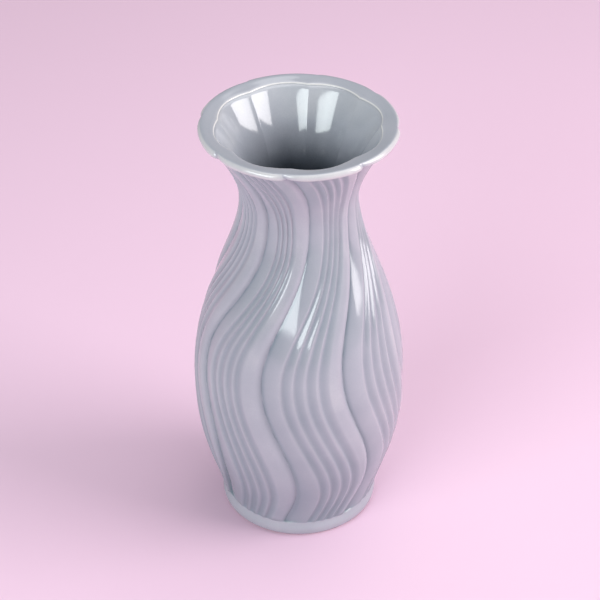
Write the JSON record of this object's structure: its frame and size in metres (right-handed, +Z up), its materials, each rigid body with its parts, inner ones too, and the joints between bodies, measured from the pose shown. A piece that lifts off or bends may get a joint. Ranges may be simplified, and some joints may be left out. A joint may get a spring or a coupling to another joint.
{
  "type": "vase",
  "caption": "Glazed ceramic vase with a full belly, slim neck, flared scalloped lip and wave-shaped ribs; stands on a round foot and holds cut flowers.",
  "frame": {"origin": "centre of the foot ring's resting face", "axes": "+Z up along the vase's axis, from the foot to the lip; -Y is the front that the picture shows, +X is to its right"},
  "size_m": [0.1151, 0.1152, 0.2432],
  "materials": {
    "fired_clay": "bare fired white earthenware, matt and slightly chalky",
    "outer_glaze": "glossy grey-lavender glaze, paler where it is thin on edges and bluer where it pools",
    "inner_glaze": "glossy blue-grey glaze"
  },
  "bodies": {
    "root": {"clay_body": "fired_clay", "outer_glaze": "outer_glaze", "inner_glaze": "inner_glaze", "base_glaze": "outer_glaze"}
  },
  "joints": []
}
